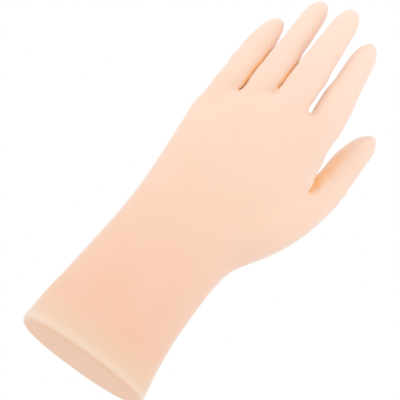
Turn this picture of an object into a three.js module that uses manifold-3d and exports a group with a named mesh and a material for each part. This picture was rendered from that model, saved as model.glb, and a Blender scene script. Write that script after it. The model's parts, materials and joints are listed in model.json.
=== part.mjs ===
// Posable silicone mannequin hand: a left hand with a short forearm, standing on its flat cut end.
// A soft silicone skin covers a jointed armature: moulded links, hinge pins, a palm frame and a wrist rod.
// Frame: +Z from the cut end to the fingertips, +X towards the thumb, -Y is the back of the hand, millimetres.
import * as THREE from "three";
import { mergeVertices } from "three/addons/utils/BufferGeometryUtils.js";
import Module from "manifold-3d";

const wasm = await Module();
wasm.setup();

// Clearances
const seamGap = 0.3; // between neighbouring lengths of skin
const bedGap = 0.3; // between the armature and the silicone round it
const hingeGap = 0.3; // beside each tongue in its fork
const pinGap = 0.15; // round each pin in its hole

// Armature
const linkWidth = 7;
const linkDepth = 6;
const tongueWidth = 2.6;
const pinRadius = 1;
const pinInset = 0.3; // each pin end lies this far below the fork's cheek
const pocketDepth = 1.2; // moulded recess in both cheeks of a link
const pocketHeight = 2.8;
const tipCover = 8; // silicone beyond the last link
const rodRadius = 4;
const rodFoot = 10; // height of the rod's lower end above the cut end
const rodSeat = 16; // length of rod inside the frame's socket
const hubWidth = 26;
const hubDepth = 15;
const hubHeight = 28;
const hubRise = 2; // height of the hub's foot above the wrist
const stemLength = 12; // straight stub below each fork

// Joint folds: the skin stays rigid up to this distance from a hinge
const foldReach = 1.6;
const reach = 240; // half size of the blocks that part the skin, longer than any digit with its root

// Forearm and palm: main sizes
const cutWidth = 77.8;
const cutDepth = 50.4;
const wristHeight = 82;
const wristWidth = 66.6;
const wristDepth = 39.5;
const palmLength = 78; // from the wrist to where the palm is widest
const palmWidth = 79.6;
const palmDepth = 27;
const webLength = 28.5; // from there to the highest web
const palmHeight = wristHeight + palmLength;
const webHeight = palmHeight + webLength;
const hubFoot = wristHeight + hubRise;
// Sections from the cut end to the webs. Each row: height, width, depth, middle across, middle through,
// squareness, how far the edges bend to the palm, how far they drop towards the wrist, and how far the
// section leans, which turns its little-finger edge to the palm and its thumb edge to the back.
const palmRows = [
  [0, cutWidth, cutDepth, 0.4, -1.5, 2.2, 0, 0, 6.5],
  [wristHeight - 42, 70.2, 46, -1.2, -1, 2.2, 0, 0, 3],
  [wristHeight, wristWidth, wristDepth, 0, -0.75, 2.3, 0, 0, 0],
  [wristHeight + 30, 69.5, 34, 0.5, -2, 2.5, 1, 0, 0],
  [palmHeight - 20, 76, 29, 1, -4, 2.7, 4.5, 0, 0],
  [palmHeight, palmWidth, palmDepth, 1.4, -4.5, 2.9, 8, 3, 0],
  [webHeight - 13.5, 76.6, 25.5, -0.1, -5, 3, 9, 9, 0],
  [webHeight - 4.5, 74.4, 20, -1.4, -5.5, 2.8, 9, 12.5, 0],
  [webHeight, 72, 9, -0.9, -5.5, 2.4, 9, 14, 0],
];
const rimRadius = 3.5;
const rimAngles = [0, 30, 60]; // steps of the rim's arc, in degrees
const archMiddle = 4; // where the palm's arch is highest, across the hand
const webMiddle = 16; // where the webs reach highest, across the hand
const archSpan = 38;

// Digits. base: centre of the skin where the digit leaves the palm. fan, lean and roll turn the digit in
// degrees: towards the thumb, towards the palm and about its own axis. stem: base to first hinge. links: hinge
// to hinge, and the last hinge to the tip. curl: bend of each joint at rest. bend: how much further each joint
// closes. widths and depths of the skin: at the base, at each later hinge and at the tip. cap: length over
// which the tip rounds off. apex: how far the tip's end lies to the thumb side of the digit's axis.
const digits = {
  index: {
    base: [26, -7, webHeight + 4.9],
    fan: -6.5,
    lean: 4,
    roll: 0,
    stem: 7,
    links: [18, 17.5, 14.6],
    curl: [5, 7, 6],
    bend: [55, 70, 40],
    widths: [19.9, 16, 14.2, 12.4],
    depths: [18.4, 16, 13.6, 12],
    cap: 16,
    apex: 1.1,
  },
  middle: {
    base: [3.9, -9.5, webHeight + 3.9],
    fan: -2.4,
    lean: 4,
    roll: 0,
    stem: 7,
    links: [21.5, 21.5, 18.1],
    curl: [5, 7, 6],
    bend: [55, 70, 40],
    widths: [19.6, 17.1, 14.7, 13.2],
    depths: [18.6, 16.4, 14, 12.4],
    cap: 15,
    apex: 0.2,
  },
  ring: {
    base: [-14.1, -5.2, webHeight - 1.2],
    fan: -0.8,
    lean: 5,
    roll: 0,
    stem: 7,
    links: [20.5, 20.5, 21.5],
    curl: [6, 7, 6],
    bend: [55, 70, 40],
    widths: [15.8, 14.5, 13.6, 11.8],
    depths: [17, 15.4, 13.4, 11.8],
    cap: 15,
    apex: -0.2,
  },
  little: {
    base: [-30.1, -1, webHeight - 9.1],
    fan: 0.8,
    lean: 6,
    roll: 0,
    stem: 6,
    links: [15.5, 15, 16.3],
    curl: [6, 7, 6],
    bend: [55, 70, 40],
    widths: [14.6, 14.8, 12.8, 11.8],
    depths: [15, 13.6, 12, 11],
    cap: 15,
    apex: 1.2,
  },
  thumb: {
    base: [49.1, 13, palmHeight + 1.8],
    fan: 3.8,
    lean: 3,
    roll: 25,
    stem: 7,
    links: [19.5, 21.6],
    curl: [3, 5],
    bend: [40, 50],
    widths: [20.4, 16.7, 14.6],
    depths: [19, 16.2, 14.2],
    cap: 16,
    apex: 2.8,
  },
};
const digitSquareness = 2.25; // of every digit's section
const fingerRoot = 45; // length of a finger's skin sunk in the palm
const fingerRootSink = 5.5; // how far its end slants into the palm
const fingerRootTaper = 5; // how much narrower its end is
const fingerRootThinning = 3; // how much thinner its end is
// The ball of the thumb, from the thumb's base down to the wrist: place, width and depth.
const thumbRoot = [
  { at: [43.8, 7, palmHeight - 17], width: 26, depth: 28 },
  { at: [35.5, 2.5, palmHeight - 36], width: 30, depth: 33 },
  { at: [24.5, 0.5, wristHeight + 22], width: 30, depth: 33 },
  { at: [14, 0, wristHeight + 2], width: 26, depth: 30 },
];
// The pad on the little-finger side of the palm: middle and half sizes.
const heelPad = { at: [-15, 1, wristHeight + 32], half: [18, 17.5, 46] };
// Where each bar of the palm frame leaves the hub, measured from the middle of the hub's foot.
const barFeet = {
  index: [7, -2, 24],
  middle: [2, -3, 26],
  ring: [-3.5, -2.5, 25],
  little: [-8, -1, 23],
  thumb: [8, 2, 14],
};

// Facets
const digitSides = 14;
const palmSides = 32;
const ringStep = 5.9;
const palmSteps = 2;
const arcSteps = 4;
const pinSides = 12;
const rodSides = 24;
const padSides = 14;
const padRings = 8;
const capFractions = [0.35, 0.62, 0.82, 0.94, 0.99];

const skinMaterial = new THREE.MeshStandardMaterial({ color: 0xf6d2ba, roughness: 0.55, metalness: 0 });
const foldMaterial = new THREE.MeshStandardMaterial({ color: 0xf2c6a9, roughness: 0.6, metalness: 0 });
const nylonMaterial = new THREE.MeshStandardMaterial({ color: 0xdcd8cc, roughness: 0.5, metalness: 0 });
const steelMaterial = new THREE.MeshStandardMaterial({ color: 0xb9bcc0, roughness: 0.3, metalness: 1 });

const radians = THREE.MathUtils.degToRad;
const vector = (list) => new THREE.Vector3(...list);

// A closed geometry as a solid that can be joined and cut.
function solidOf(geometry) {
  const bare = geometry.clone();
  bare.deleteAttribute("normal");
  bare.deleteAttribute("uv");
  const merged = mergeVertices(bare, 1e-4);
  return new wasm.Manifold(
    new wasm.Mesh({
      numProp: 3,
      vertProperties: merged.attributes.position.array,
      triVerts: new Uint32Array(merged.index.array),
    }),
  );
}

function geometryOf(solid) {
  const { vertProperties, triVerts } = solid.getMesh();
  const geometry = new THREE.BufferGeometry();
  geometry.setAttribute("position", new THREE.BufferAttribute(vertProperties, 3));
  return geometry.setIndex(new THREE.BufferAttribute(triVerts, 1));
}

function meshOf(name, solid, material) {
  const geometry = geometryOf(solid);
  geometry.computeVertexNormals();
  const mesh = new THREE.Mesh(geometry, material);
  mesh.name = name;
  return mesh;
}

// A closed skin through rings of points, each ring running anticlockwise seen from the last one.
function loft(rings) {
  const sides = rings[0].length;
  const points = rings.flat();
  const faces = [];
  for (let i = 0; i + 1 < rings.length; i++) {
    for (let j = 0; j < sides; j++) {
      const a = i * sides + j;
      const b = i * sides + ((j + 1) % sides);
      faces.push(a, b, b + sides, a, b + sides, a + sides);
    }
  }
  const middle = (ring) => ring.reduce((sum, p) => sum.add(p), new THREE.Vector3()).divideScalar(sides);
  const foot = points.push(middle(rings[0])) - 1;
  const top = points.push(middle(rings.at(-1))) - 1;
  const last = (rings.length - 1) * sides;
  for (let j = 0; j < sides; j++) {
    const k = (j + 1) % sides;
    faces.push(foot, k, j, top, last + j, last + k);
  }
  return new THREE.BufferGeometry().setFromPoints(points).setIndex(faces);
}

// A point of a superellipse section at an angle: across and through, each as a share of its half size.
function sectionShare(angle, squareness) {
  const power = 2 / squareness;
  const share = (value) => Math.sign(value) * Math.abs(value) ** power;
  return [share(Math.cos(angle)), share(Math.sin(angle))];
}

// A side-view outline (palm side, height) extruded across the digit, centred on its middle plane.
function acrossDigit(outline, width) {
  const shape = new THREE.Shape(outline.map(([y, z]) => new THREE.Vector2(y, z)));
  const geometry = new THREE.ExtrudeGeometry(shape, { depth: width, bevelEnabled: false });
  geometry.translate(0, 0, -width / 2);
  const turn = new THREE.Matrix4().makeBasis(
    new THREE.Vector3(0, 1, 0),
    new THREE.Vector3(0, 0, 1),
    new THREE.Vector3(1, 0, 0),
  );
  return geometry.applyMatrix4(turn);
}

// The outline of a square-ended bed round a bar, reaching past both side-view points by its half depth.
function bedOutline([y0, z0], [y1, z1], half) {
  const length = Math.hypot(y1 - y0, z1 - z0);
  const along = [(y1 - y0) / length, (z1 - z0) / length];
  const corner = (y, z, ahead, aside) => [
    y + half * (ahead * along[0] + aside * along[1]),
    z + half * (ahead * along[1] - aside * along[0]),
  ];
  return [corner(y0, z0, -1, -1), corner(y0, z0, -1, 1), corner(y1, z1, 1, 1), corner(y1, z1, 1, -1)];
}

// The outline of a bar with round ends, between two side-view points.
function roundBar([y0, z0], [y1, z1], radius) {
  const heading = Math.atan2(z1 - z0, y1 - y0);
  const outline = [];
  const ends = [
    { y: y0, z: z0, start: heading + Math.PI / 2 },
    { y: y1, z: z1, start: heading - Math.PI / 2 },
  ];
  for (const end of ends) {
    for (let i = 0; i <= arcSteps; i++) {
      const angle = end.start + (Math.PI * i) / arcSteps;
      outline.push([end.y + radius * Math.cos(angle), end.z + radius * Math.sin(angle)]);
    }
  }
  return outline;
}

function box(width, depth, height, x, y, z) {
  return new THREE.BoxGeometry(width, depth, height).translate(x, y, z);
}

// A cylinder along X, for pins and their holes.
function crossPin(radius, length, z) {
  return new THREE.CylinderGeometry(radius, radius, length, pinSides).rotateZ(Math.PI / 2).translate(0, 0, z);
}

// The side view of a digit at rest: hinge points, and the heading of the stretch that follows each one.
function sideView(digit) {
  const hinges = [];
  let y = 0;
  let z = digit.stem;
  let heading = 0;
  digit.links.forEach((length, i) => {
    heading += radians(digit.curl[i]);
    hinges.push({ y, z, heading });
    y += length * Math.sin(heading);
    z += length * Math.cos(heading);
  });
  return { hinges, tip: { y, z } };
}

// A side-view point given along and across the heading at a hinge.
function fromHinge(hinge, heading, across, along) {
  return [
    hinge.y + across * Math.cos(heading) + along * Math.sin(heading),
    hinge.z - across * Math.sin(heading) + along * Math.cos(heading),
  ];
}

function digitMatrix(digit) {
  const turn = new THREE.Euler(-radians(digit.lean), radians(digit.fan), radians(digit.roll), "YXZ");
  return new THREE.Matrix4().makeRotationFromEuler(turn).setPosition(vector(digit.base));
}

// The whole skin of one digit in its own frame, from its root inside the palm to the tip.
function digitSkin(name, digit) {
  const { hinges, tip } = sideView(digit);
  const intoDigit = digitMatrix(digit).invert();
  const sized = (point, width, depth) => ({ point, size: new THREE.Vector3(width / 2, depth / 2, 0) });
  const stations = [];
  if (name === "thumb") {
    for (const { at, width, depth } of thumbRoot.toReversed()) {
      stations.push(sized(vector(at).applyMatrix4(intoDigit), width, depth));
    }
  } else {
    const root = new THREE.Vector3(0, fingerRootSink, -fingerRoot);
    stations.push(sized(root, digit.widths[0] - fingerRootTaper, digit.depths[0] - fingerRootThinning));
  }
  stations.push(sized(new THREE.Vector3(), digit.widths[0], digit.depths[0]));
  hinges.slice(1).forEach((hinge, i) => {
    const point = new THREE.Vector3(0, hinge.y, hinge.z);
    stations.push(sized(point, digit.widths[i + 1], digit.depths[i + 1]));
  });
  stations.push(sized(new THREE.Vector3(digit.apex, tip.y, tip.z), digit.widths.at(-1), digit.depths.at(-1)));

  const spine = new THREE.CatmullRomCurve3(stations.map((s) => s.point));
  const sizes = new THREE.CatmullRomCurve3(stations.map((s) => s.size), false, "catmullrom");
  const length = spine.getLength();
  const plain = length - digit.cap;
  const count = Math.round(plain / ringStep);
  const distances = [];
  for (let i = 0; i <= count; i++) distances.push((plain * i) / count);
  for (const fraction of capFractions) distances.push(plain + digit.cap * fraction);

  const rings = distances.map((distance) => {
    const t = spine.getUtoTmapping(distance / length);
    const centre = spine.getPoint(t);
    const size = sizes.getPoint(t);
    const tangent = spine.getTangent(t);
    const across = new THREE.Vector3(0, 1, 0).cross(tangent).normalize();
    const through = tangent.clone().cross(across);
    const rounding = Math.sqrt(1 - Math.max(0, (distance - plain) / digit.cap) ** 2);
    const ring = [];
    for (let j = 0; j < digitSides; j++) {
      const [a, b] = sectionShare((2 * Math.PI * j) / digitSides, digitSquareness);
      const point = centre.clone();
      point.addScaledVector(across, a * size.x * rounding);
      point.addScaledVector(through, b * size.y * rounding);
      ring.push(point);
    }
    return ring;
  });
  return solidOf(loft(rings));
}

// The forearm and palm up to the webs.
function palmBody() {
  const rows = [];
  const columns = palmRows[0].length;
  const last = palmRows.length - 1;
  const row = (i) => palmRows[Math.min(Math.max(i, 0), last)];
  const blend = (i, t, c) => {
    const [p0, p1, p2, p3] = [row(i - 1)[c], row(i)[c], row(i + 1)[c], row(i + 2)[c]];
    const bendStart = (p2 - p0) / 2;
    const bendEnd = (p3 - p1) / 2;
    const rise = 2 * p1 - 2 * p2 + bendStart + bendEnd;
    const sag = 3 * (p2 - p1) - 2 * bendStart - bendEnd;
    return p1 + t * (bendStart + t * (sag + t * rise));
  };
  for (let i = 0; i < last; i++) {
    for (let step = 0; step < palmSteps; step++) {
      rows.push(Array.from({ length: columns }, (_, c) => blend(i, step / palmSteps, c)));
    }
  }
  rows.push(palmRows[last]);

  const ring = ([z, width, depth, middleX, middleY, squareness, arch, drop, lean], inset) => {
    const points = [];
    for (let j = 0; j < palmSides; j++) {
      const [a, b] = sectionShare((2 * Math.PI * j) / palmSides, squareness);
      const x = middleX + a * (width / 2 - inset);
      const y = middleY + b * (depth / 2 - inset);
      const archShare = ((x - archMiddle) / archSpan) ** 2;
      const webShare = ((x - webMiddle) / archSpan) ** 2;
      points.push(new THREE.Vector3(x, y + arch * archShare - a * lean, z - drop * webShare));
    }
    return points;
  };
  const rim = rimAngles.map((degrees) => {
    const angle = radians(degrees);
    const foot = [rimRadius * (1 - Math.cos(angle)), ...palmRows[0].slice(1)];
    return ring(foot, rimRadius * (1 - Math.sin(angle)));
  });
  const rimTop = ring([rimRadius, ...palmRows[0].slice(1)], 0);
  return solidOf(loft([...rim, rimTop, ...rows.slice(1).map((r) => ring(r, 0))]));
}

// One link along +Z from its lower hinge: a tongue at the foot and, unless it ends in the fingertip, a fork
// on top and a pocket in each cheek.
function linkSolid(length, forked) {
  const radius = linkDepth / 2;
  const shoulder = radius + hingeGap;
  let link = solidOf(acrossDigit(roundBar([0, 0], [0, length], radius), linkWidth));
  for (const side of [-1, 1]) {
    const cheek = box(linkWidth, 2 * linkDepth, 2 * shoulder, (side * (tongueWidth + linkWidth)) / 2, 0, 0);
    link = link.subtract(solidOf(cheek));
  }
  link = link.subtract(solidOf(crossPin(pinRadius + pinGap, 2 * linkWidth, 0)));
  if (!forked) return link;
  const pocketLength = length - 2 * shoulder - radius;
  for (const side of [-1, 1]) {
    const pocket = box(2 * pocketDepth, pocketHeight, pocketLength, (side * linkWidth) / 2, 0, length / 2);
    link = link.subtract(solidOf(pocket));
  }
  return forkCut(link, length);
}

// Cuts the slot and pin hole of a fork whose hinge lies at a height on Z.
function forkCut(bar, z) {
  const reach = linkDepth / 2 + hingeGap;
  const slot = box(tongueWidth + 2 * hingeGap, 2 * linkDepth, 2 * reach, 0, 0, z);
  return bar.subtract(solidOf(slot)).subtract(solidOf(crossPin(pinRadius + pinGap, 2 * linkWidth, z)));
}

// A straight bar of the palm frame between two points, its flat side facing as the digit does.
function frameBar(from, to, width, depth, acrossHint) {
  const along = to.clone().sub(from);
  const heading = along.clone().normalize();
  const through = heading.clone().cross(acrossHint).normalize();
  const across = through.clone().cross(heading);
  const bar = new THREE.BoxGeometry(width, depth, along.length());
  const place = new THREE.Matrix4().makeBasis(across, through, heading);
  place.setPosition(from.clone().add(to).multiplyScalar(0.5));
  return bar.applyMatrix4(place);
}

// The palm frame, or with a grown size the bed that the silicone leaves for it.
function palmFrame(grow) {
  const hubMiddle = hubFoot + hubHeight / 2;
  const hub = box(hubWidth + 2 * grow, hubDepth + 2 * grow, hubHeight + 2 * grow, 0, 0, hubMiddle);
  let frame = solidOf(hub);
  for (const [name, digit] of Object.entries(digits)) {
    const place = digitMatrix(digit);
    const outline = grow ? bedOutline : roundBar;
    const side = outline([0, -stemLength], [0, digit.stem], linkDepth / 2 + grow);
    let stem = solidOf(acrossDigit(side, linkWidth + 2 * grow));
    if (!grow) stem = forkCut(stem, digit.stem);
    const placed = geometryOf(stem).applyMatrix4(place);
    const across = new THREE.Vector3().setFromMatrixColumn(place, 0);
    const foot = vector(barFeet[name]).add(new THREE.Vector3(0, 0, hubFoot));
    const top = new THREE.Vector3(0, 0, -stemLength).applyMatrix4(place);
    const bar = frameBar(foot, top, linkWidth + 2 * grow, linkDepth + 2 * grow, across);
    frame = frame.add(solidOf(placed)).add(solidOf(bar));
  }
  return frame;
}

function wristRod(grow) {
  const length = hubFoot + rodSeat - rodFoot + 2 * grow;
  const rod = new THREE.CylinderGeometry(rodRadius + grow, rodRadius + grow, length, rodSides);
  return solidOf(rod.rotateX(Math.PI / 2).translate(0, 0, (hubFoot + rodSeat + rodFoot) / 2));
}

const hand = new THREE.Group();
const pad = new THREE.SphereGeometry(1, padSides, padRings).rotateX(Math.PI / 2);
pad.scale(...heelPad.half).translate(...heelPad.at);
let palmSkin = palmBody().add(solidOf(pad));

for (const [name, digit] of Object.entries(digits)) {
  const group = new THREE.Group();
  group.applyMatrix4(digitMatrix(digit));
  hand.add(group);

  const { hinges, tip } = sideView(digit);
  const skin = digitSkin(name, digit);

  // The palm keeps the skin below the digit's base.
  const below = skin.subtract(solidOf(box(2 * reach, 2 * reach, 2 * reach, 0, 0, reach)));
  palmSkin = palmSkin.add(solidOf(geometryOf(below).applyMatrix4(digitMatrix(digit))));

  // The bed of the links runs through every length of skin.
  const bedWidth = linkWidth + 2 * bedGap;
  const bedRadius = linkDepth / 2 + bedGap;
  const stops = [...hinges, tip].map(({ y, z }) => [y, z]);
  const end = hinges.at(-1);
  const lastLink = digit.links.at(-1) - tipCover;
  stops[stops.length - 1] = fromHinge(end, end.heading, 0, lastLink - linkDepth / 2);
  let bed = solidOf(acrossDigit(bedOutline([0, -stemLength], stops[0], bedRadius), bedWidth));
  for (let i = 0; i + 1 < stops.length; i++) {
    bed = bed.add(solidOf(acrossDigit(bedOutline(stops[i], stops[i + 1], bedRadius), bedWidth)));
  }
  const hollow = skin.subtract(bed);

  // Side views of the stretches beyond and before a joint. Each slants away on the palm side by half the bend.
  const beyond = (i, shift) => {
    const { heading } = hinges[i];
    const slant = reach * Math.tan(radians(digit.bend[i] / 2));
    const start = foldReach + shift;
    const outline = [
      fromHinge(hinges[i], heading, -reach, start),
      fromHinge(hinges[i], heading, 0, start),
      fromHinge(hinges[i], heading, reach, start + slant),
      fromHinge(hinges[i], heading, reach, reach),
      fromHinge(hinges[i], heading, -reach, reach),
    ];
    return solidOf(acrossDigit(outline, 2 * reach));
  };
  const before = (i, shift) => {
    const heading = i > 0 ? hinges[i - 1].heading : 0;
    const slant = reach * Math.tan(radians(digit.bend[i] / 2));
    const start = -foldReach - shift;
    const outline = [
      fromHinge(hinges[i], heading, -reach, start),
      fromHinge(hinges[i], heading, -reach, -reach),
      fromHinge(hinges[i], heading, reach, -reach),
      fromHinge(hinges[i], heading, reach, start - slant),
      fromHinge(hinges[i], heading, 0, start),
    ];
    return solidOf(acrossDigit(outline, 2 * reach));
  };
  const underBase = solidOf(box(2 * reach, 2 * reach, 2 * reach, 0, 0, seamGap - reach));

  const jointNames = hinges.length === 3 ? ["knuckle", "middle", "tip"] : ["knuckle", "tip"];
  const linkNames = hinges.length === 3 ? ["proximal", "middle", "tip"] : ["proximal", "tip"];
  let carrier = group;
  hinges.forEach((hinge, i) => {
    let sleeve = hollow.intersect(beyond(i, 0));
    if (i + 1 < hinges.length) sleeve = sleeve.intersect(before(i + 1, 0));
    group.add(meshOf(`${name}_${linkNames[i]}_skin`, sleeve, skinMaterial));
    let fold = hollow.subtract(beyond(i, -seamGap));
    fold = fold.subtract(i > 0 ? before(i, -seamGap) : underBase);
    group.add(meshOf(`${name}_${jointNames[i]}_fold`, fold, foldMaterial));

    const joint = new THREE.Group();
    joint.position.z = i > 0 ? digit.links[i - 1] : digit.stem;
    joint.rotation.x = -radians(digit.curl[i]);
    carrier.add(joint);
    const forked = i + 1 < hinges.length;
    const length = forked ? digit.links[i] : lastLink - linkDepth / 2;
    joint.add(meshOf(`${name}_${linkNames[i]}_link`, linkSolid(length, forked), nylonMaterial));
    const pin = crossPin(pinRadius, linkWidth - 2 * pinInset, 0);
    joint.add(meshOf(`${name}_${jointNames[i]}_pin`, solidOf(pin), steelMaterial));
    carrier = joint;
  });
}

palmSkin = palmSkin.subtract(palmFrame(bedGap)).subtract(wristRod(bedGap));
const frame = palmFrame(0).subtract(wristRod(bedGap));
hand.add(meshOf("palm_skin", palmSkin, skinMaterial));
hand.add(meshOf("palm_frame", frame, nylonMaterial));
hand.add(meshOf("wrist_rod", wristRod(0), steelMaterial));

export default hand;
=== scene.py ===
import json
import math

import bpy
import numpy as np
from mathutils import Matrix, Vector


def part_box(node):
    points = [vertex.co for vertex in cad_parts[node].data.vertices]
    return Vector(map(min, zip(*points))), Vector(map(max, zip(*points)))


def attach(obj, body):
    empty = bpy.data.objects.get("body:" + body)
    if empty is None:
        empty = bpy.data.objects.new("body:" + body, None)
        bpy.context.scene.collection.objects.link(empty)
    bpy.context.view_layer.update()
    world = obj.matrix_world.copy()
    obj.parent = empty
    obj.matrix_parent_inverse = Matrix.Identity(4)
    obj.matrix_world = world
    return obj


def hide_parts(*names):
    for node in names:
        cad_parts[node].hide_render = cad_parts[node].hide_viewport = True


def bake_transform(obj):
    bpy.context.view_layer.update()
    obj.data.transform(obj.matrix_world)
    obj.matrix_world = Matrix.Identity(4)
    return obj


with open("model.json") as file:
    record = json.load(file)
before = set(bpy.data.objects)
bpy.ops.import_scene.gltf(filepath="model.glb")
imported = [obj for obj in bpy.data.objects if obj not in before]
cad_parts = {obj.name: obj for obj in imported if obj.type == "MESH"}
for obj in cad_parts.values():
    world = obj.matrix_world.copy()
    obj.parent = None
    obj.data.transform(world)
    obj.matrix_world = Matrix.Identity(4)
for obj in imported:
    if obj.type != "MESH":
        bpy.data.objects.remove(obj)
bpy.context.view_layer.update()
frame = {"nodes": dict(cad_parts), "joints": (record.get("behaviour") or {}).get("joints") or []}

# Wrist rod and hinge pins: a steel rod up the middle of the forearm, and a short steel pin in every joint.
# They are cut from drawn bar. The rod is bedded in the silicone, the pins are pressed into the links' forks.
MM = 0.001
ROD_STEEL = "B4B6B8"
PIN_STEEL = "C6C8CA"
STEEL_GLOSS = (0.26, 0.4)  # roughness on and between the drawn lines
DRAWN_LINE = 0.6 * MM  # spacing of the lines along a bar, drawn coarser than the real ones
DRAWN_STRETCH = 0.05  # how far the pattern is drawn out along the bar
DRAWN_DEPTH = 0.05 * MM
DRAWN_RELIEF = 0.15
NOISE_SPAN = (0.3, 0.7)  # where most values of a noise pattern lie


def srgb(code):
    """The linear colour of an sRGB hex value."""
    shares = [int(code[i : i + 2], 16) / 255 for i in (0, 2, 4)]
    return [s / 12.92 if s <= 0.04045 else ((s + 0.055) / 1.055) ** 2.4 for s in shares] + [1]


def add_node(tree, kind, inputs, **settings):
    """Adds a node with its settings, and gives its sockets values or links from other sockets."""
    made = tree.nodes.new(kind)
    for name, value in settings.items():
        setattr(made, name, value)
    for name, value in inputs.items():
        if isinstance(value, bpy.types.NodeSocket):
            tree.links.new(value, made.inputs[name])
        else:
            made.inputs[name].default_value = value
    return made


def new_material(name):
    """An empty node material and its tree."""
    material = bpy.data.materials.new(name)
    material.use_nodes = True
    material.node_tree.nodes.clear()
    return material, material.node_tree


def finish_material(tree, shader):
    """Sends the shader to the material's surface."""
    add_node(tree, "ShaderNodeOutputMaterial", {"Surface": shader.outputs[0]})


def drawn_steel(name, colour, stretch):
    """Drawn bar: a soft metallic shine broken by fine lines that run along the bar."""
    material, tree = new_material(name)
    place = add_node(tree, "ShaderNodeTexCoord", {}).outputs["Object"]
    along = add_node(tree, "ShaderNodeMapping", {"Vector": place, "Scale": stretch})
    lines = add_node(
        tree, "ShaderNodeTexNoise", {"Vector": along.outputs[0], "Scale": 1 / DRAWN_LINE, "Detail": 2}
    )
    gloss = add_node(
        tree,
        "ShaderNodeMapRange",
        {
            "Value": lines.outputs[0],
            "From Min": NOISE_SPAN[0],
            "From Max": NOISE_SPAN[1],
            "To Min": STEEL_GLOSS[0],
            "To Max": STEEL_GLOSS[1],
        },
    )
    relief = add_node(
        tree,
        "ShaderNodeBump",
        {"Height": lines.outputs[0], "Strength": DRAWN_RELIEF, "Distance": DRAWN_DEPTH},
    )
    shader = add_node(
        tree,
        "ShaderNodeBsdfPrincipled",
        {
            "Base Color": srgb(colour),
            "Metallic": 1.0,
            "Roughness": gloss.outputs[0],
            "Normal": relief.outputs[0],
        },
    )
    finish_material(tree, shader)
    return material


def dress(name, material):
    """Gives a solid of the armature its finish."""
    node = frame["nodes"][name]
    node.data.materials.clear()
    node.data.materials.append(material)


rod_steel = drawn_steel("drawn_steel_rod", ROD_STEEL, (1, 1, DRAWN_STRETCH))
pin_steel = drawn_steel("drawn_steel_pin", PIN_STEEL, (DRAWN_STRETCH, 1, 1))
dress("wrist_rod", rod_steel)
for name in frame["nodes"]:
    if name.endswith("_pin"):
        dress(name, pin_steel)

# Armature: the palm frame and the finger links, moulded in natural nylon, a tongue and fork at every joint.
# The silicone is cast round them, so they are hidden, and their hinges let the hand take a pose.
NYLON_PALE = "E4DFD2"
NYLON_DEEP = "D8D2C2"
NYLON_ROUGHNESS = 0.48
NYLON_IOR = 1.53
NYLON_CLOUD = 5 * MM  # size of the cloudy patches in unpigmented nylon
NYLON_GRAIN = 0.5 * MM  # spark-eroded grain of the mould
NYLON_DEPTH = 0.05 * MM
NYLON_RELIEF = 0.2


def moulded_nylon():
    """Natural nylon: waxy off-white with faint clouds and the dull grain of the mould."""
    material, tree = new_material("moulded_nylon")
    place = add_node(tree, "ShaderNodeTexCoord", {}).outputs["Object"]
    cloud = add_node(tree, "ShaderNodeTexNoise", {"Vector": place, "Scale": 1 / NYLON_CLOUD})
    grain = add_node(tree, "ShaderNodeTexNoise", {"Vector": place, "Scale": 1 / NYLON_GRAIN})
    colour = add_node(
        tree,
        "ShaderNodeMix",
        {"Factor": cloud.outputs[0], "A": srgb(NYLON_PALE), "B": srgb(NYLON_DEEP)},
        data_type="RGBA",
    )
    relief = add_node(
        tree,
        "ShaderNodeBump",
        {"Height": grain.outputs[0], "Strength": NYLON_RELIEF, "Distance": NYLON_DEPTH},
    )
    shader = add_node(
        tree,
        "ShaderNodeBsdfPrincipled",
        {
            "Base Color": colour.outputs["Result"],
            "Roughness": NYLON_ROUGHNESS,
            "IOR": NYLON_IOR,
            "Normal": relief.outputs[0],
        },
    )
    finish_material(tree, shader)
    return material


nylon = moulded_nylon()
for name in frame["nodes"]:
    if name.endswith(("_link", "_frame")):
        dress(name, nylon)

# Silicone skin: one soft casting over the whole armature, from the flat cut end to the fingertips.
# It is poured in a mould with no nails or creases on the back, so the surface runs on without a seam.
SEAM_FILL = 0.2 * MM  # half the gap between the solid lengths of skin, and a little more
GRID = 0.76 * MM  # mesh spacing of the cast skin
MERGE = 0.001 * MM
# While the skin is cast, the digits stand aside so that the webs stay open: the height at which each web
# starts, over what height the digit beyond it moves, and how far.
SPREADS = {
    "index": [(0.1875, 14 * MM, (2.5 * MM, 0, 0))],
    "middle": [],
    "ring": [(0.186, 12 * MM, (-4 * MM, 0, 0))],
    "little": [(0.186, 12 * MM, (-4 * MM, 0, 0)), (0.174, 12 * MM, (-4 * MM, 0, 0))],
    "thumb": [(0.160, 8 * MM, (2.4 * MM, 2 * MM, 0))],
}
# From each digit's base to its first hinge, and half its width there.
STEMS = {"index": 7 * MM, "middle": 7 * MM, "ring": 7 * MM, "little": 6 * MM, "thumb": 7 * MM}
HALF_WIDTHS = {
    "index": 9.6 * MM,
    "middle": 9.4 * MM,
    "ring": 7.9 * MM,
    "little": 7.3 * MM,
    "thumb": 9.7 * MM,
}
ROOT = 45 * MM  # how far a digit's axis runs on into the palm
THUMB_FREE = 0.158  # above this height the thumb stands clear of the palm
THUMB_REACH = 1.07  # how far its skin lies from its axis there, in half widths
SPREAD_REACH = 1.15  # and while it stands aside

joints = {}
for joint in frame["joints"]:
    joints.setdefault(joint["name"].split("_")[0], []).append(joint)


def ease(t):
    """A soft step from 0 to 1."""
    t = np.clip(t, 0, 1)
    return t * t * (3 - 2 * t)


def unit(v):
    """The direction of v, of length 1."""
    return v / np.linalg.norm(v)


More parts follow.
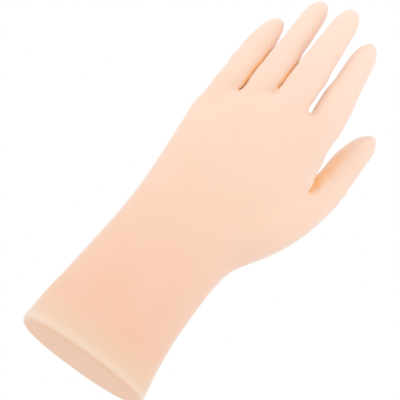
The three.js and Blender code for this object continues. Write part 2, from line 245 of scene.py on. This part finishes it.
def axis_of(digit):
    """Points down the middle of a digit: root, base, hinges and tip."""
    hinges = [np.array(j["pos_m"]) for j in joints[digit]]
    first = unit(hinges[1] - hinges[0])
    last = unit(hinges[-1] - hinges[-2])
    base = hinges[0] - first * STEMS[digit]
    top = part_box(digit + "_tip_skin")[1].z
    tip = hinges[-1] + last * (top - hinges[-1][2]) / last[2]
    return [base - first * ROOT, base, *hinges, tip]


axes = {digit: axis_of(digit) for digit in STEMS}


def aside(digit, height):
    """How far a digit stands aside at each height."""
    total = np.zeros((len(height), 3))
    for web, rise, way in SPREADS[digit]:
        total += ease((height - web) / rise)[:, None] * np.array(way)
    return total


def from_axis(points, digit):
    """How far points lie from a digit's axis, in half widths, and how far along it from its base."""
    away = np.full(len(points), np.inf)
    along = np.zeros(len(points))
    run = -ROOT
    for start, end in zip(axes[digit][:-1], axes[digit][1:]):
        step = end - start
        length = np.linalg.norm(step)
        share = np.clip((points - start) @ step / length**2, 0, 1)
        gap = np.linalg.norm(points - start - share[:, None] * step, axis=1) / HALF_WIDTHS[digit]
        closer = gap < away
        away[closer] = gap[closer]
        along[closer] = run + share[closer] * length
        run += length
    return away, along


def nearest_digit(points, spread, thumb_reach):
    """The digit that each point belongs to, and how far along it the point lies from its base."""
    best = np.full(len(points), np.inf)
    owner = np.full(len(points), "middle", dtype=object)
    along = np.zeros(len(points))
    for digit in axes:
        shifted = points - aside(digit, points[:, 2]) if spread else points
        away, run = from_axis(shifted, digit)
        if digit == "thumb":
            away[(away > thumb_reach) & (points[:, 2] > THUMB_FREE)] = np.inf
        closer = away < best
        best[closer] = away[closer]
        owner[closer] = digit
        along[closer] = run[closer]
    return owner, along


def points_of(mesh):
    """The places of a mesh's points, one row each."""
    flat = np.empty(len(mesh.vertices) * 3)
    mesh.vertices.foreach_get("co", flat)
    return flat.reshape(-1, 3)


def set_points(mesh, points):
    """Moves a mesh's points to these places."""
    mesh.vertices.foreach_set("co", points.ravel())
    mesh.update()


def only(*objects):
    """Selects these objects alone, the first one active."""
    bpy.ops.object.select_all(action="DESELECT")
    for o in objects:
        o.select_set(True)
    bpy.context.view_layer.objects.active = objects[0]


def apply_modifier(kind, **settings):
    """Adds a modifier to the active object and applies it."""
    bpy.ops.object.modifier_add(type=kind)
    modifier = bpy.context.object.modifiers[-1]
    for name, value in settings.items():
        setattr(modifier, name, value)
    bpy.ops.object.modifier_apply(modifier=modifier.name)


copies = []
for name in sorted(frame["nodes"]):
    if not name.endswith(("_skin", "_fold")):
        continue
    copy = bpy.data.objects.new("cast_" + name, frame["nodes"][name].data.copy())
    bpy.context.scene.collection.objects.link(copy)
    points = points_of(copy.data)
    digit = name.split("_")[0]
    owner = np.full(len(points), digit, dtype=object)
    if digit == "palm":
        owner = nearest_digit(points, False, THUMB_REACH)[0]
    for each in STEMS:
        mine = owner == each
        points[mine] += aside(each, points[mine, 2])
    set_points(copy.data, points)
    copies.append(copy)

only(*copies)
bpy.ops.object.join()
skin = bpy.context.object
skin.name = "skin"
bpy.ops.object.mode_set(mode="EDIT")
bpy.ops.mesh.select_all(action="SELECT")
bpy.ops.mesh.remove_doubles(threshold=MERGE)
bpy.ops.object.mode_set(mode="OBJECT")
apply_modifier("DISPLACE", strength=SEAM_FILL, mid_level=0)
apply_modifier("REMESH", mode="VOXEL", voxel_size=GRID)

# The casting's outside alone is kept: the beds of the armature come away as loose shells.
bpy.ops.object.mode_set(mode="EDIT")
bpy.ops.mesh.select_all(action="SELECT")
bpy.ops.mesh.separate(type="LOOSE")
bpy.ops.object.mode_set(mode="OBJECT")
shells = list(bpy.context.selected_objects)
skin = max(shells, key=lambda o: len(o.data.vertices))
for shell in shells:
    if shell is not skin:
        bpy.data.objects.remove(shell)
only(skin)

# Smoothing away the facets of the solids: lightly at the rim, more on the fingers, most on palm and forearm.
RIM_TOP = 8 * MM
PALM_START = 3 * MM  # how far below a digit's base the broad smoothing starts
PALM_RISE = 18 * MM  # and over what length it reaches its full weight
SMOOTH_FACTOR = 0.5
SMOOTH_ALL = 10  # rounds of smoothing
SMOOTH_ABOVE_RIM = 17
SMOOTH_BROAD = 212
WEIGHT_STEPS = 20
points = points_of(skin.data)
owner, along = nearest_digit(points, True, SPREAD_REACH)
above_rim = ease((points[:, 2] - RIM_TOP / 2) / RIM_TOP)
broad = ease((-along - PALM_START) / PALM_RISE) * ease((points[:, 2] - RIM_TOP) / (2 * RIM_TOP))


def weigh(name, weights):
    """Puts the skin's points in a vertex group, with these weights."""
    group = skin.vertex_groups.new(name=name)
    for level in range(1, WEIGHT_STEPS + 1):
        chosen = np.flatnonzero(np.round(weights * WEIGHT_STEPS) == level)
        group.add(chosen.tolist(), level / WEIGHT_STEPS, "REPLACE")


weigh("above_rim", above_rim)
weigh("broad", broad)
apply_modifier("SMOOTH", factor=SMOOTH_FACTOR, iterations=SMOOTH_ALL)
apply_modifier("SMOOTH", factor=SMOOTH_FACTOR, iterations=SMOOTH_ABOVE_RIM, vertex_group="above_rim")
apply_modifier("SMOOTH", factor=SMOOTH_FACTOR, iterations=SMOOTH_BROAD, vertex_group="broad")

# The digits go back to their places.
points = points_of(skin.data)
owner = nearest_digit(points, True, SPREAD_REACH)[0]
for digit in STEMS:
    mine = owner == digit
    points[mine] -= aside(digit, points[mine, 2])

# The little and ring fingers press against their neighbours from the web up to the middle of the finger:
# foot and top of the place, and how far the skin bulges.
TUCKS = {"ring": (0.186, 0.220, 1.3 * MM), "little": (0.1705, 0.224, 1.3 * MM)}
TUCK_RISE = 8 * MM
TUCK_FALL = 16 * MM
TUCK_SIDE = 0.2  # how far beyond the middle of the finger the bulge starts, in half widths
for digit, (foot, top, tuck) in TUCKS.items():
    mine = owner == digit
    axis = np.array(axes[digit])
    height = points[mine, 2]
    middle = np.interp(height, axis[:, 2], axis[:, 0])
    beside = ease((points[mine, 0] - middle) / HALF_WIDTHS[digit] + TUCK_SIDE)
    between = ease((height - foot) / TUCK_RISE) * ease((top - height) / TUCK_FALL)
    points[mine, 0] += tuck * beside * between

# Touches of the modeller's thumb on the clay that the mould was taken from, in millimetres: whose skin they
# move, where, how wide they are and which way they push.
TOUCHES = [
    ("any", (39.6, -5, 155), 5, (2.0, 0, 0)),
    ("any", (39.4, -4, 158), 5, (1.4, 0, 0)),
    ("any", (39.5, -2, 161), 5, (0.6, 0, 0)),
    ("any", (41.5, -2, 155.5), 3.8, (-1, 2.4, 0)),
    ("any", (42, 0.2, 158.5), 4.5, (-1.2, 3, 0)),
    ("any", (41.8, 2.5, 161.5), 4.5, (-1.2, 3.2, 0)),
    ("any", (-38.5, 0, 161), 16, (-0.9, 0, 0)),
    ("any", (-38, 0, 22), 15, (-0.6, 0, 0)),
    ("any", (33.5, 0, 88), 14, (0.5, 0, 0)),
    ("any", (59, 13, 168), 10, (0.7, 0, 0)),
    ("index", (39, 0, 173), 8, (0.9, 0, 0)),
    ("index", (15, -7, 206), 9, (-0.4, 0, 0)),
    ("index", (22, -5, 236), 18, (0.6, 0, 0)),
    ("middle", (12, -7, 208), 9, (0.4, 0, 0)),
    ("middle", (5.5, -5, 250), 7, (-0.5, 0, 0)),
    ("ring", (-17, -3, 240), 20, (-0.6, 0, 0)),
    ("little", (-36.9, 0, 204), 18, (-0.4, 0, 0)),
    ("little", (-28.5, 2, 223), 9, (-0.6, 0, 0.4)),
    ("thumb", (59, 13, 182), 8, (0.35, 0, 0)),
    ("thumb", (58.8, 14, 195), 6, (-0.5, 0, 0)),
    ("thumb", (54, 15, 207.5), 6, (0, 0, 1.6)),
    ("thumb", (40.6, 14, 187), 12, (-0.5, 0, 0)),
    ("any", (-22.9, -6, 175), 3.6, (0, -1.3, 0)),
    ("any", (-7.4, -10.4, 185.5), 4, (0, -1.2, 0)),
    ("any", (-9.2, -12.6, 181.8), 3.5, (0, 0.5, 0)),
    ("little", (-23.2, -6, 178), 5, (0.5, 0, 0)),
    ("ring", (-7, -10, 188.5), 5, (0.5, 0, 0)),
    ("any", (2, 11, 136), 30, (0, -3, 0)),
    ("any", (27, 16, 126), 24, (0.5, 2.4, 0)),
    ("any", (-26, 13, 112), 28, (0, 2.2, 0)),
    ("any", (4, 9, 170), 20, (0, 1.2, 0)),
]
for digit, spot, width, push in TOUCHES:
    near = ease(1 - np.linalg.norm(points - np.array(spot) * MM, axis=1) / (width * MM))
    if digit != "any":
        near[owner != digit] = 0
    points += near[:, None] * np.array(push) * MM
set_points(skin.data, points)

# The crease beside the thumb and the feet of the clefts between the fingers are rubbed smooth: spots in
# millimetres, how wide each rub is and how many rounds it takes.
CREASE = [(41, -1, 155.5), (41, 2, 158.5), (41, 4.5, 161.5), (40.5, 6, 164)]
CREASE_WIDTH = 6 * MM
CREASE_ROUNDS = 7
CLEFT_FEET = [(-23, -6.5, 174), (-8.7, -12, 183), (-7.2, -10.5, 186)]
CLEFT_WIDTH = 4 * MM
CLEFT_ROUNDS = 10
RUB_EDGE = 1.3  # how far from its spot a rub ends, in widths


def rub(name, spots, width, rounds):
    """Smooths the skin round these spots."""
    near = np.zeros(len(skin.data.vertices))
    for spot in spots:
        away = np.linalg.norm(points_of(skin.data) - np.array(spot) * MM, axis=1)
        near = np.maximum(near, ease(RUB_EDGE - away / width))
    weigh(name, near)
    apply_modifier("SMOOTH", factor=SMOOTH_FACTOR, iterations=rounds, vertex_group=name)


rub("crease", CREASE, CREASE_WIDTH, CREASE_ROUNDS)
rub("cleft_feet", CLEFT_FEET, CLEFT_WIDTH, CLEFT_ROUNDS)

# What the material and the cuts need to know of each point: its place at rest and whose skin it is.
points = points_of(skin.data)
rest = skin.data.attributes.new("rest", "FLOAT_VECTOR", "POINT")
rest.data.foreach_set("vector", points.ravel())
digits = list(STEMS)
belongs = skin.data.attributes.new("digit", "FLOAT", "POINT")
belongs.data.foreach_set("value", np.array([digits.index(d) for d in owner], dtype=float))

# How far off a neighbour still brings the painted glow and shade of the clefts: heights, and the reach at
# each of them, in millimetres. The fingers touch one another, the thumb lies open to the edge of the palm.
PAINTED_GLOW_REACHES = {
    "index": ([190, 205], [2.5, 2]),
    "middle": ([183, 190, 205], [1, 2.5, 2]),
    "ring": ([182, 190, 198, 206], [1.2, 3.5, 3.5, 1.2]),
    "little": ([172, 180, 186, 197, 208], [2, 4, 4.5, 3, 1.2]),
    "thumb": ([150, 160, 175, 190, 203], [8, 18, 18, 20, 16]),
}
PALM_SHARE = 0.45  # what the edge of the palm takes of the thumb's reach
THUMB_SIDE = 1.7  # how far from its axis the thumb's reach ends, in half widths
THUMB_FADE = 0.4
THUMB_TOP = 0.215  # no skin above this height takes the thumb's reach
THUMB_LEAST = 2  # the thumb's own skin has at least this reach
painted_glow_reaches = np.zeros(len(points))
for digit, (heights, widths) in PAINTED_GLOW_REACHES.items():
    by_height = np.interp(points[:, 2] / MM, heights, widths)
    share = (owner == digit).astype(float)
    if digit == "thumb":
        by_height[owner != "thumb"] *= PALM_SHARE
        share = ease((THUMB_SIDE - from_axis(points, "thumb")[0]) / THUMB_FADE)
        share[points[:, 2] >= THUMB_TOP] = 0
    painted_glow_reaches += (by_height - painted_glow_reaches) * share
painted_glow_reaches[(owner == "thumb") & (painted_glow_reaches < THUMB_LEAST)] = THUMB_LEAST
painted_glow_reach = skin.data.attributes.new("painted_glow_reach", "FLOAT", "POINT")
painted_glow_reach.data.foreach_set("value", painted_glow_reaches * MM)

# Silicone: soft matt rubber, pinker and darker towards the forearm and paler at the fingers, partly the
# rubber's own tone, partly painted shade on the forearm and painted light on the fingers where the casting is
# thin.
# The tones by height in millimetres.
SKIN_AND_LIGHT_TONES = [
    (0.52, "FADDC8"),  # painted highlight on the moulded edge round the cut end
    (3.12, "F3D6C0"),  # a painted highlight band above it
    (7.28, "EFCBAE"),  # paler towards the cut end, where the painted highlight band fades out
    (23.92, "F4C4A8"),  # the forearm
    (143, "FBD7C0"),  # the hand
    (234, "FCDDC9"),  # the fingers
]
TONE_SPAN = 260  # height up to which the tones are laid out
# Painted shade on the rounded edge and the cut face, warmer and deeper where the surface turns down: from and
# up to which downward slope each tone comes in.
PAINTED_CUT_SHADE = [(-0.3, -0.8, "F3C7A7"), (-0.97, -1.0, "F7B888")]
CUT_LEVEL = (3 * MM, 1.5 * MM)  # heights between which these tones come in
PAINTED_CLEFT_GLOW = "FFCE93"  # painted glow and shade between the fingers: a warm orange standing in for light that has passed through the silicone
PAINTED_GLOW_FROM = 0.88  # how open a place is where that tone starts, and where it is full
PAINTED_GLOW_FULL = 0.38
PAINTED_GLOW_SAMPLES = 16
PORE = "8C4A20"
PORES = [(-17.3, 7), (-15.9, 0.4)]  # opened bubbles in the cut face, in millimetres
PORE_SIZE = 0.9 * MM
MOTTLE = 22 * MM
MOTTLE_SATURATION = (0.97, 1.03)
GRAIN = 1.2 * MM  # the real matt grain is finer, drawn as coarse as the picture shows
GRAIN_GLOSS = (0.5, 0.58)
GRAIN_DEPTH = 0.05 * MM
GRAIN_RELIEF = 0.1
SILICONE_IOR = 1.41
SHEEN = 0.65  # the soft light that scatters from the rubber's outermost layer
SHEEN_ROUGHNESS = 0.5


def cast_silicone():
    """Cast silicone rubber: flesh colour with faint mottling and a soft, greasy sheen, with painted light and
    shade: tones by height, painted shade on the cut end and a painted glow in the clefts.
    """
    material, tree = new_material("cast_silicone")
    place = add_node(tree, "ShaderNodeAttribute", {}, attribute_name="rest").outputs["Vector"]
    height = add_node(tree, "ShaderNodeSeparateXYZ", {"Vector": place}).outputs["Z"]
    share = add_node(
        tree, "ShaderNodeMapRange", {"Value": height, "From Min": 0, "From Max": TONE_SPAN * MM}
    )
    tone = add_node(tree, "ShaderNodeValToRGB", {"Fac": share.outputs[0]})
    stops = tone.color_ramp.elements
    stops.remove(stops[1])
    stops[0].position = SKIN_AND_LIGHT_TONES[0][0] / TONE_SPAN
    stops[0].color = srgb(SKIN_AND_LIGHT_TONES[0][1])
    for level, code in SKIN_AND_LIGHT_TONES[1:]:
        stops.new(level / TONE_SPAN).color = srgb(code)
    mottle = add_node(
        tree, "ShaderNodeTexNoise", {"Vector": place, "Scale": 1 / MOTTLE, "Detail": 3}
    )
    shift = add_node(
        tree,
        "ShaderNodeMapRange",
        {
            "Value": mottle.outputs[0],
            "From Min": NOISE_SPAN[0],
            "From Max": NOISE_SPAN[1],
            "To Min": MOTTLE_SATURATION[0],
            "To Max": MOTTLE_SATURATION[1],
        },
    )
    colour = add_node(
        tree,
        "ShaderNodeHueSaturation",
        {"Saturation": shift.outputs[0], "Color": tone.outputs[0]},
    ).outputs[0]
    # Painted shade: the downward faces of the cut end take warmer, deeper tones.
    facing = add_node(tree, "ShaderNodeTexCoord", {}).outputs["Normal"]
    slope = add_node(tree, "ShaderNodeSeparateXYZ", {"Vector": facing}).outputs["Z"]
    low = add_node(
        tree,
        "ShaderNodeMapRange",
        {"Value": height, "From Min": CUT_LEVEL[0], "From Max": CUT_LEVEL[1]},
    )
    for start, end, code in PAINTED_CUT_SHADE:
        painted_shade_share = add_node(
            tree,
            "ShaderNodeMapRange",
            {"Value": slope, "From Min": start, "From Max": end, "To Max": low.outputs[0]},
        )
        colour = add_node(
            tree,
            "ShaderNodeMix",
            {"Factor": painted_shade_share.outputs[0], "A": colour, "B": srgb(code)},
            data_type="RGBA",
        ).outputs["Result"]
    nearest = 1.0  # farther than any point of the hand
    for x, y in PORES:
        away = add_node(
            tree, "ShaderNodeVectorMath", {0: place, 1: (x * MM, y * MM, 0)}, operation="DISTANCE"
        )
        nearest = add_node(
            tree, "ShaderNodeMath", {0: away.outputs["Value"], 1: nearest}, operation="MINIMUM"
        ).outputs[0]
    pore = add_node(
        tree,
        "ShaderNodeMapRange",
        {"Value": nearest, "From Min": PORE_SIZE, "From Max": PORE_SIZE / 3},
    )
    colour = add_node(
        tree,
        "ShaderNodeMix",
        {"Factor": pore.outputs[0], "A": colour, "B": srgb(PORE)},
        data_type="RGBA",
    ).outputs["Result"]
    # Painted glow and shade: where neighbouring skin closes in, the colour turns to a warm orange.
    reach = add_node(tree, "ShaderNodeAttribute", {}, attribute_name="painted_glow_reach").outputs["Fac"]
    openness = add_node(
        tree, "ShaderNodeAmbientOcclusion", {"Distance": reach}, samples=PAINTED_GLOW_SAMPLES
    ).outputs["AO"]
    painted_glow_share = add_node(
        tree,
        "ShaderNodeMapRange",
        {"Value": openness, "From Min": PAINTED_GLOW_FROM, "From Max": PAINTED_GLOW_FULL},
    )
    colour = add_node(
        tree,
        "ShaderNodeMix",
        {"Factor": painted_glow_share.outputs[0], "A": colour, "B": srgb(PAINTED_CLEFT_GLOW)},
        data_type="RGBA",
    ).outputs["Result"]
    grain = add_node(tree, "ShaderNodeTexNoise", {"Vector": place, "Scale": 1 / GRAIN, "Detail": 2})
    gloss = add_node(
        tree,
        "ShaderNodeMapRange",
        {
            "Value": grain.outputs[0],
            "From Min": NOISE_SPAN[0],
            "From Max": NOISE_SPAN[1],
            "To Min": GRAIN_GLOSS[0],
            "To Max": GRAIN_GLOSS[1],
        },
    )
    relief = add_node(
        tree,
        "ShaderNodeBump",
        {"Height": grain.outputs[0], "Strength": GRAIN_RELIEF, "Distance": GRAIN_DEPTH},
    )
    shader = add_node(
        tree,
        "ShaderNodeBsdfPrincipled",
        {
            "Base Color": colour,
            "Roughness": gloss.outputs[0],
            "IOR": SILICONE_IOR,
            "Sheen Weight": SHEEN,
            "Sheen Roughness": SHEEN_ROUGHNESS,
            "Normal": relief.outputs[0],
        },
    )
    finish_material(tree, shader)
    return material


skin.data.materials.clear()
skin.data.materials.append(cast_silicone())

# Lengths of the skin: the palm rides on the palm frame, and each joint has its own length.
# The lengths meet on flat cuts halfway between the hinges, where the silicone doesn't bend.
KNUCKLE_REACH = 6.5 * MM  # from a digit's first hinge down to its first cut
CUT_BAND = 4 * MM  # faces this near to a cut are divided by it
CUT_MERGE = 0.0001 * MM
CUT_SLACK = 0.0002 * MM
CUT_EDGE = math.radians(40)  # edges sharper than this stay sharp


def pick(piece, digit, chooses):
    """Selects those of a digit's points that chooses takes, and the faces between them, in edit mode."""
    only(piece)
    bpy.ops.object.mode_set(mode="EDIT")
    bpy.ops.mesh.select_mode(type="VERT")
    bpy.ops.mesh.select_all(action="DESELECT")
    bpy.ops.object.mode_set(mode="OBJECT")
    marks = np.empty(len(piece.data.vertices))
    piece.data.attributes["digit"].data.foreach_get("value", marks)
    chosen = (np.round(marks) == digits.index(digit)) & chooses(points_of(piece.data))
    piece.data.vertices.foreach_set("select", chosen)
    bpy.ops.object.mode_set(mode="EDIT")


def cut_off(piece, digit, at, way, name):
    """Cuts a digit across and takes what lies beyond the cut as a new piece."""
    pick(piece, digit, lambda points: np.abs((points - at) @ way) < CUT_BAND)
    bpy.ops.mesh.bisect(plane_co=tuple(at), plane_no=tuple(way), threshold=CUT_MERGE)
    bpy.ops.object.mode_set(mode="OBJECT")
    pick(piece, digit, lambda points: (points - at) @ way > -CUT_SLACK)
    bpy.ops.mesh.separate(type="SELECTED")
    bpy.ops.object.mode_set(mode="OBJECT")
    made = [o for o in bpy.context.selected_objects if o is not piece][0]
    made.name = name
    return made


def close(piece):
    """Closes the cut ends of a length of skin and shades it smooth up to their edges."""
    only(piece)
    bpy.ops.object.mode_set(mode="EDIT")
    bpy.ops.mesh.select_mode(type="EDGE")
    bpy.ops.mesh.select_all(action="DESELECT")
    bpy.ops.mesh.select_non_manifold(extend=False, use_wire=False, use_multi_face=False)
    bpy.ops.mesh.fill_holes(sides=0)
    bpy.ops.mesh.select_all(action="SELECT")
    bpy.ops.mesh.normals_make_consistent(inside=False)
    bpy.ops.object.mode_set(mode="OBJECT")
    piece.vertex_groups.clear()
    bpy.ops.object.shade_smooth_by_angle(angle=CUT_EDGE)


for digit, chain in joints.items():
    hinges = [np.array(j["pos_m"]) for j in chain] + [axes[digit][-1]]
    beyond = skin
    pieces = []
    for i, joint in enumerate(chain):
        if i == 0:
            way = unit(hinges[1] - hinges[0])
            at = hinges[0] - way * KNUCKLE_REACH
        else:
            way = unit(hinges[i] - hinges[i - 1])
            at = (hinges[i] + hinges[i - 1]) / 2
        label = joint["name"].removesuffix("_joint")
        beyond = cut_off(beyond, digit, at, way, "skin_" + label)
        pieces.append((beyond, joint, hinges[i], way, unit(hinges[i + 1] - hinges[i]), label))
    for piece, joint, hinge, before, after, label in pieces:
        close(piece)
        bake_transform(piece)
        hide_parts(label + "_fold", joint["child"] + "_skin")
skin.name = "skin_palm"
close(skin)
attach(skin, "palm")
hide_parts("palm_skin")

# Studio: a pale floor under the cut end that runs out to white, a white tent all round, and four large soft
# lamps: one on either side of the back of the hand, one above it and a faint one in front.
# The picture is taken from a little below the hand's foot, so the floor shows its upper face alone.
FLOOR_SIZE = 3
FLOOR_DROP = 0.5 * MM
FLOOR = "F4F2EF"
FADE_FROM = 0.3  # from here the floor runs out to white, in metres from the hand
FADE_TO = 1.4
WHITE = "FFFFFF"
TENT_LIGHT = 0.86
LAMP_WIDTH = 2.7
# Each lamp's name, place, height on the hand that it is aimed at, and power.
LAMPS = [
    ("lamp_little", (-3, -1.35, 0.64), 0.13, 19),
    ("lamp_thumb", (3, -1.35, 0.79), 0.13, 13.5),
    ("lamp_above", (0, -1.5, 2.96), 0.17, 8.5),
    ("lamp_front", (0, -3.6, -0.56), 0.13, 4),
]
CAMERA_DISTANCE = 1.5
CAMERA_TILT = math.radians(16.5)
CAMERA_ROLL = math.radians(52)
TARGET = Vector((-0.002295, 0, 0.112775))
LENS = 247.35
SENSOR = 36

bpy.ops.object.select_all(action="DESELECT")
bpy.ops.mesh.primitive_plane_add(size=FLOOR_SIZE, location=(0, 0, -FLOOR_DROP))
floor = bpy.context.object
floor.name = "floor"
floor_material, tree = new_material("pale_floor")
side = add_node(tree, "ShaderNodeNewGeometry", {})
spot = add_node(tree, "ShaderNodeTexCoord", {})
off = add_node(tree, "ShaderNodeVectorMath", {0: spot.outputs["Object"]}, operation="LENGTH")
fade = add_node(
    tree,
    "ShaderNodeMapRange",
    {"Value": off.outputs["Value"], "From Min": FADE_FROM, "From Max": FADE_TO},
    interpolation_type="SMOOTHSTEP",
)
pale = add_node(tree, "ShaderNodeBsdfDiffuse", {"Color": srgb(FLOOR)})
sweep = add_node(tree, "ShaderNodeEmission", {"Color": srgb(WHITE), "Strength": 1.0})
upper = add_node(
    tree, "ShaderNodeMixShader", {0: fade.outputs[0], 1: pale.outputs[0], 2: sweep.outputs[0]}
)
clear = add_node(tree, "ShaderNodeBsdfTransparent", {})
one_sided = add_node(
    tree,
    "ShaderNodeMixShader",
    {0: side.outputs["Backfacing"], 1: upper.outputs[0], 2: clear.outputs[0]},
)
finish_material(tree, one_sided)
floor.data.materials.append(floor_material)
floor.visible_shadow = False
floor.visible_diffuse = False
floor.visible_glossy = False

world = bpy.data.worlds.new("white_tent")
world.use_nodes = True
tree = world.node_tree
tree.nodes.clear()
path = add_node(tree, "ShaderNodeLightPath", {})
seen = add_node(
    tree,
    "ShaderNodeMath",
    {0: path.outputs["Is Camera Ray"], 1: path.outputs["Is Glossy Ray"]},
    operation="MAXIMUM",
)
seen = add_node(
    tree,
    "ShaderNodeMath",
    {0: seen.outputs[0], 1: path.outputs["Is Transmission Ray"]},
    operation="MAXIMUM",
)
tent = add_node(tree, "ShaderNodeBackground", {"Color": srgb(WHITE), "Strength": TENT_LIGHT})
white = add_node(tree, "ShaderNodeBackground", {"Color": srgb(WHITE), "Strength": 1.0})
both = add_node(
    tree, "ShaderNodeMixShader", {0: seen.outputs[0], 1: tent.outputs[0], 2: white.outputs[0]}
)
add_node(tree, "ShaderNodeOutputWorld", {"Surface": both.outputs[0]})
bpy.context.scene.world = world
bpy.context.scene.view_settings.view_transform = "Standard"

for name, place, aim, power in LAMPS:
    bpy.ops.object.light_add(type="AREA", location=place)
    lamp = bpy.context.object
    lamp.name = name
    lamp.data.shape = "DISK"
    lamp.data.size = LAMP_WIDTH
    lamp.data.energy = power
    lamp.rotation_euler = (Vector((0, 0, aim)) - Vector(place)).to_track_quat("-Z", "Y").to_euler()

sight = Vector((0, math.cos(CAMERA_TILT), math.sin(CAMERA_TILT)))
upright = Vector((0, -math.sin(CAMERA_TILT), math.cos(CAMERA_TILT)))
across = Vector((1, 0, 0))
right = math.cos(CAMERA_ROLL) * upright + math.sin(CAMERA_ROLL) * across
up = math.sin(CAMERA_ROLL) * upright - math.cos(CAMERA_ROLL) * across
place = TARGET - sight * CAMERA_DISTANCE
camera_data = bpy.data.cameras.new("camera")
camera_data.lens = LENS
camera_data.sensor_width = SENSOR
camera = bpy.data.objects.new("camera", camera_data)
bpy.context.scene.collection.objects.link(camera)
camera.matrix_world = Matrix(
    (
        (right.x, up.x, -sight.x, place.x),
        (right.y, up.y, -sight.y, place.y),
        (right.z, up.z, -sight.z, place.z),
        (0, 0, 0, 1),
    )
)
bpy.context.scene.camera = camera
